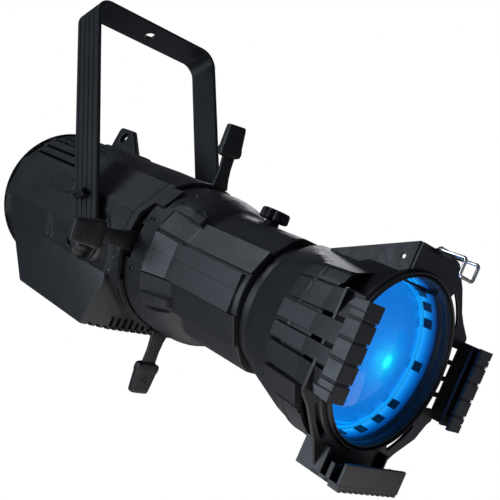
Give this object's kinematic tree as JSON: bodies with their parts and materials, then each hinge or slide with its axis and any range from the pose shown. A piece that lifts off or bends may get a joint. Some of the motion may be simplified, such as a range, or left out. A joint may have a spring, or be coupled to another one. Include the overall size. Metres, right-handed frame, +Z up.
{
  "type": "ellipsoidal spotlight",
  "caption": "Black stage profile spotlight with an LED engine, framing shutters, turnable barrel, sliding lens tube and accessory holder, hung nose down in a U-shaped yoke.",
  "frame": {"origin": "on the axis of the yoke's clamp bolt hole, at the top face of the crossbar", "axes": "+Z up along the clamp bolt; the tilt axis is along Y; the beam points to +X and down at rest"},
  "size_m": [0.5927, 0.3023, 0.5535],
  "materials": {
    "powder_black": "fine satin powder coat",
    "plastic_black": "satin moulded",
    "plastic_grey": "satin moulded, lighter grey",
    "knob_black": "fine textured",
    "steel_zinc": "zinc plated",
    "steel_black": "black oxide",
    "blade_steel": "rolled stainless",
    "wire_chrome": "bright",
    "cast_aluminium": "machined casting",
    "heat_sink_alu": "black anodised",
    "pcb": "solder mask",
    "led_white": "phosphor and white mask",
    "lens_glass": "polished, coated",
    "socket_black": "moulded",
    "socket_blue": "moulded",
    "socket_grey": "moulded",
    "display": "smoked window",
    "button_rubber": "moulded",
    "badge": "satin label",
    "psu_case": "folded sheet",
    "gate_black": "black anodised"
  },
  "bodies": {
    "yoke": {"yoke": "powder_black", "stop_pin": "steel_zinc", "pivot_washers": "steel_zinc"},
    "tilt_knob_right": {"tilt_knob_right": "knob_black"},
    "tilt_knob_left": {"tilt_knob_left": "knob_black"},
    "housing": {"top_cover": "powder_black", "base_shell": "powder_black", "front_grille": "plastic_black", "rear_cap": "powder_black", "rear_panel": "powder_black", "display_window": "display", "dmx_input": "socket_black", "dmx_output": "socket_black", "power_inlet": "socket_blue", "power_outlet": "socket_grey", "fuse_holder": "socket_black", "safety_fin": "powder_black", "bulkhead": "cast_aluminium", "light_tunnel": "cast_aluminium", "led_board": "led_white", "condenser_lens": "lens_glass", "heat_sink": "heat_sink_alu", "fan_frame": "plastic_black", "power_supply": "psu_case", "control_board": "pcb", "housing_screws": "steel_black", "side_cover_right": "powder_black", "side_cover_left": "powder_black", "badge_plates": "badge", "pivot_brackets": "cast_aluminium"},
    "fan": {"fan_rotor": "plastic_black"},
    "barrel": {"barrel_upper": "powder_black", "barrel_lower": "powder_black", "gate_hub": "gate_black", "gate_plate": "gate_black", "barrel_screws": "steel_black"},
    "zoom": {"lens_tube": "powder_black", "lens_cell": "gate_black", "front_lens": "lens_glass", "lens_ring": "plastic_black", "rear_lens": "lens_glass", "front_frame": "plastic_black"},
    "focus_knob": {"focus_knob": "plastic_black"},
    "frame_clip": {"frame_clip": "wire_chrome"},
    "button_1": {"button_1": "button_rubber"},
    "button_2": {"button_2": "button_rubber"},
    "button_3": {"button_3": "button_rubber"},
    "button_4": {"button_4": "button_rubber"},
    "shutter_slide_top": {"shutter_pin_top": "steel_zinc"},
    "shutter_top": {"shutter_top": "blade_steel", "shutter_grip_top": "knob_black"},
    "shutter_slide_right": {"shutter_pin_right": "steel_zinc"},
    "shutter_right": {"shutter_right": "blade_steel", "shutter_grip_right": "knob_black"},
    "shutter_slide_bottom": {"shutter_pin_bottom": "steel_zinc"},
    "shutter_bottom": {"shutter_bottom": "blade_steel", "shutter_grip_bottom": "knob_black"},
    "shutter_slide_left": {"shutter_pin_left": "steel_zinc"},
    "shutter_left": {"shutter_left": "blade_steel", "shutter_grip_left": "knob_black"}
  },
  "joints": [
    {"name": "tilt", "type": "hinge", "parent": "yoke", "child": "housing", "pos_m": [0, 0, -0.29], "axis": [0, 1, 0], "range_deg": [-50, 88]},
    {"name": "tilt_lock_right", "type": "hinge", "parent": "yoke", "child": "tilt_knob_right", "pos_m": [0, -0.1, -0.29], "axis": [0, 1, 0], "range_deg": [-180, 180]},
    {"name": "tilt_lock_left", "type": "hinge", "parent": "yoke", "child": "tilt_knob_left", "pos_m": [0, 0.1, -0.29], "axis": [0, -1, 0], "range_deg": [-180, 180]},
    {"name": "fan_spin", "type": "hinge", "parent": "housing", "child": "fan", "pos_m": [-0.08106, 0, -0.22501], "axis": [0.8554, 0, -0.518], "continuous": true},
    {"name": "barrel_turn", "type": "hinge", "parent": "housing", "child": "barrel", "pos_m": [0.07651, 0, -0.3181], "axis": [0.8554, 0, -0.518], "range_deg": [-19.6, 30.4]},
    {"name": "focus", "type": "slide", "parent": "barrel", "child": "zoom", "axis": [0.8554, 0, -0.518], "range_m": [-0.0085, 0.03]},
    {"name": "focus_lock", "type": "hinge", "parent": "zoom", "child": "focus_knob", "pos_m": [0.17352, 0.00678, -0.29305], "axis": [0.5157, 0.0941, 0.8516], "range_deg": [-180, 180]},
    {"name": "clip_swing", "type": "hinge", "parent": "zoom", "child": "frame_clip", "pos_m": [0.34936, 0.00913, -0.37044], "axis": [0.0488, -0.9956, 0.0805], "range_deg": [0, 100]},
    {"name": "shutter_push_top", "type": "slide", "parent": "barrel", "child": "shutter_slide_top", "axis": [-0.5157, -0.0941, -0.8516], "range_m": [0, 0.026]},
    {"name": "shutter_angle_top", "type": "hinge", "parent": "shutter_slide_top", "child": "shutter_top", "pos_m": [0.0955, 0.00659, -0.24813], "axis": [0.8554, 0, -0.518], "range_deg": [-21.5, 2.5]},
    {"name": "shutter_push_right", "type": "slide", "parent": "barrel", "child": "shutter_slide_right", "axis": [-0.0488, 0.9956, -0.0805], "range_m": [0, 0.026]},
    {"name": "shutter_angle_right", "type": "hinge", "parent": "shutter_slide_right", "child": "shutter_right", "pos_m": [0.06589, -0.06969, -0.30397], "axis": [-0.8554, 0, 0.518], "range_deg": [-4.5, 19.5]},
    {"name": "shutter_push_bottom", "type": "slide", "parent": "barrel", "child": "shutter_slide_bottom", "axis": [0.5157, 0.0941, 0.8516], "range_m": [0, 0.026]},
    {"name": "shutter_angle_bottom", "type": "hinge", "parent": "shutter_slide_bottom", "child": "shutter_bottom", "pos_m": [0.02484, -0.00659, -0.36828], "axis": [0.8554, 0, -0.518], "range_deg": [-15.5, 8.5]},
    {"name": "shutter_push_left", "type": "slide", "parent": "barrel", "child": "shutter_slide_left", "axis": [0.0488, -0.9956, 0.0805], "range_m": [0, 0.026]},
    {"name": "shutter_angle_left", "type": "hinge", "parent": "shutter_slide_left", "child": "shutter_left", "pos_m": [0.06061, 0.06969, -0.31617], "axis": [0.8554, 0, -0.518], "range_deg": [-12, 12]},
    {"name": "button_press_1", "type": "slide", "parent": "housing", "child": "button_1", "axis": [0.8554, 0, -0.518], "range_m": [0, 0.0008], "stiffness_N_per_m": 900, "springref_m": -0.0006},
    {"name": "button_press_2", "type": "slide", "parent": "housing", "child": "button_2", "axis": [0.8554, 0, -0.518], "range_m": [0, 0.0008], "stiffness_N_per_m": 900, "springref_m": -0.0006},
    {"name": "button_press_3", "type": "slide", "parent": "housing", "child": "button_3", "axis": [0.8554, 0, -0.518], "range_m": [0, 0.0008], "stiffness_N_per_m": 900, "springref_m": -0.0006},
    {"name": "button_press_4", "type": "slide", "parent": "housing", "child": "button_4", "axis": [0.8554, 0, -0.518], "range_m": [0, 0.0008], "stiffness_N_per_m": 900, "springref_m": -0.0006}
  ]
}
